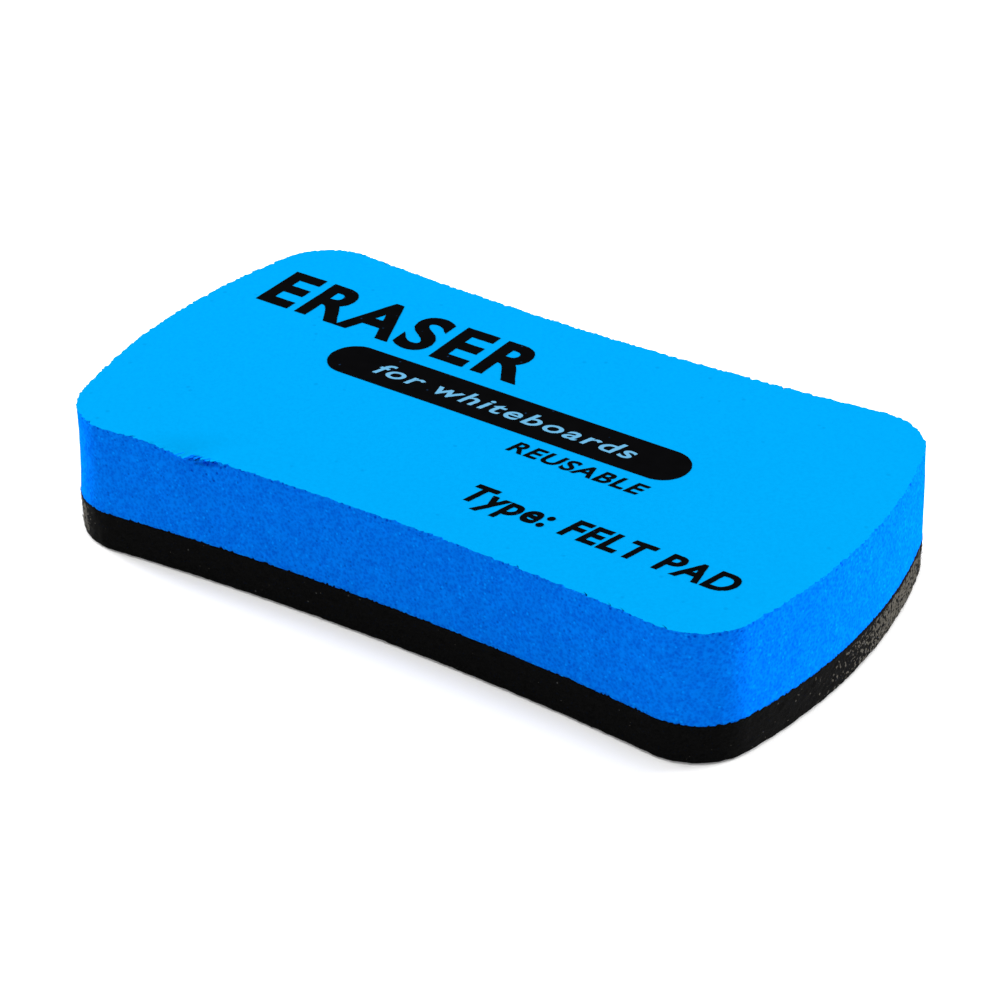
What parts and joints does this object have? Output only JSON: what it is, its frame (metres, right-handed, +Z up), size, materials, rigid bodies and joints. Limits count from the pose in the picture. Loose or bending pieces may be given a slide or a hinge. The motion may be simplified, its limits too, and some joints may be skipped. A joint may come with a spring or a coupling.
{
  "type": "board eraser",
  "caption": "Magnetic foam board eraser: waisted block with bowed ends, a felt wiping pad glued underneath and disc magnets hidden in the foam.",
  "frame": {"origin": "middle of the felt's wiping face, at the bottom of the eraser", "axes": "+X along the eraser's length, +Y across its width, +Z up from the felt to the foam's printed top"},
  "size_m": [0.1058, 0.0578, 0.0183],
  "materials": {
    "blue_foam": "matte",
    "black_felt": "matte",
    "hot_melt": "satin",
    "ferrite": "matte"
  },
  "bodies": {
    "root": {"foam_body": "blue_foam", "adhesive_film": "hot_melt", "felt_pad": "black_felt", "magnet_left": "ferrite", "magnet_right": "ferrite", "magnet_glue_left": "hot_melt", "magnet_glue_right": "hot_melt"}
  },
  "joints": []
}
